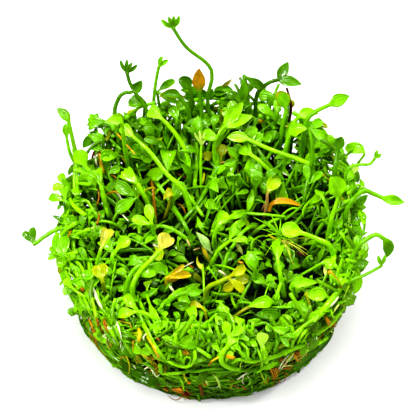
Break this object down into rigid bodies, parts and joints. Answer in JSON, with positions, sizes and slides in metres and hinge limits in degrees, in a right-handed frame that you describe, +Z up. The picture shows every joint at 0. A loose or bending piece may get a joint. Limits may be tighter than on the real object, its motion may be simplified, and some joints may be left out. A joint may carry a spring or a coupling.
{
  "type": "dwarf water clover",
  "caption": "Clump of dwarf water clover lifted whole from a round cup: a tapered plug of roots and stalks with thin-stalked lobed leaves rising from it.",
  "frame": {"origin": "centre of the flat underside of the plug, on the surface it rests on", "axes": "+Z up; -Y is the side seen in front, where the lower leaves are, and +Y is the back, where the tall leaves stand; +X is to the right of that view"},
  "size_m": [0.09, 0.0719, 0.0579],
  "materials": {
    "mat_green": "moist, fibrous",
    "tangle_green": "moist, leafy",
    "fresh_green": "moist leaf, satin",
    "shade_green": "moist leaf, satin",
    "fading_yellow": "fading leaf, satin",
    "dying_orange": "dying leaf, dull satin",
    "dead_brown": "dry, dull"
  },
  "bodies": {
    "root": {"tall_curled_clover": "fresh_green", "back_left_bud": "shade_green", "back_left_folded_leaf": "fresh_green", "back_left_round_leaf": "shade_green", "back_left_yellow_leaf": "fading_yellow", "orange_leaf": "dying_orange", "back_dark_leaf": "shade_green", "back_narrow_leaf": "shade_green", "back_arched_leaf": "shade_green", "back_right_oval_leaf": "shade_green", "back_right_far_leaf": "fresh_green", "back_right_low_leaf": "fresh_green", "back_right_large_leaf": "fresh_green", "right_back_leaf_1": "fresh_green", "right_back_leaf_2": "fresh_green", "right_back_leaf_3": "shade_green", "right_curled_tendril": "fresh_green", "right_long_leaf": "fresh_green", "right_cup_leaf": "fresh_green", "right_arching_leaf": "shade_green", "right_low_bud": "fresh_green", "right_low_leaf": "shade_green", "star_leaf": "fresh_green", "right_funnel_leaf": "fresh_green", "yellow_round_leaf": "fading_yellow", "long_stalk_leaf": "fresh_green", "thick_stalk_leaf": "fresh_green", "right_flat_leaf": "fresh_green", "right_round_leaf": "fresh_green", "tall_bright_leaf": "fresh_green", "diagonal_leaf": "fresh_green", "left_back_wide_leaf": "fresh_green", "fork_clover": "fading_yellow", "centre_small_leaf": "fresh_green", "centre_leaf": "fresh_green", "centre_right_leaf": "fresh_green", "yellow_curled_leaf": "fading_yellow", "orange_open_leaf": "dying_orange", "front_arching_leaf": "fresh_green", "left_back_fan": "fresh_green", "left_small_oval_leaf": "fresh_green", "left_tall_leaf": "fresh_green", "left_triangle_leaf": "fresh_green", "left_lobe_leaf": "fresh_green", "left_funnel_leaf": "fresh_green", "left_fan": "fresh_green", "left_outlying_leaf": "shade_green", "left_big_leaf": "fresh_green", "yellow_funnel_leaf": "fading_yellow", "left_green_leaf": "fresh_green", "yellow_round_left_leaf": "fading_yellow", "arching_yellow_leaf": "fading_yellow", "front_left_curled_leaf": "fresh_green", "front_hooked_leaf": "fresh_green", "root_mat": "mat_green", "stalk_tangle": "tangle_green", "dead_stalk": "dead_brown", "runner_right": "fresh_green", "runner_front_right": "fresh_green", "runner_front": "fresh_green"}
  },
  "joints": []
}
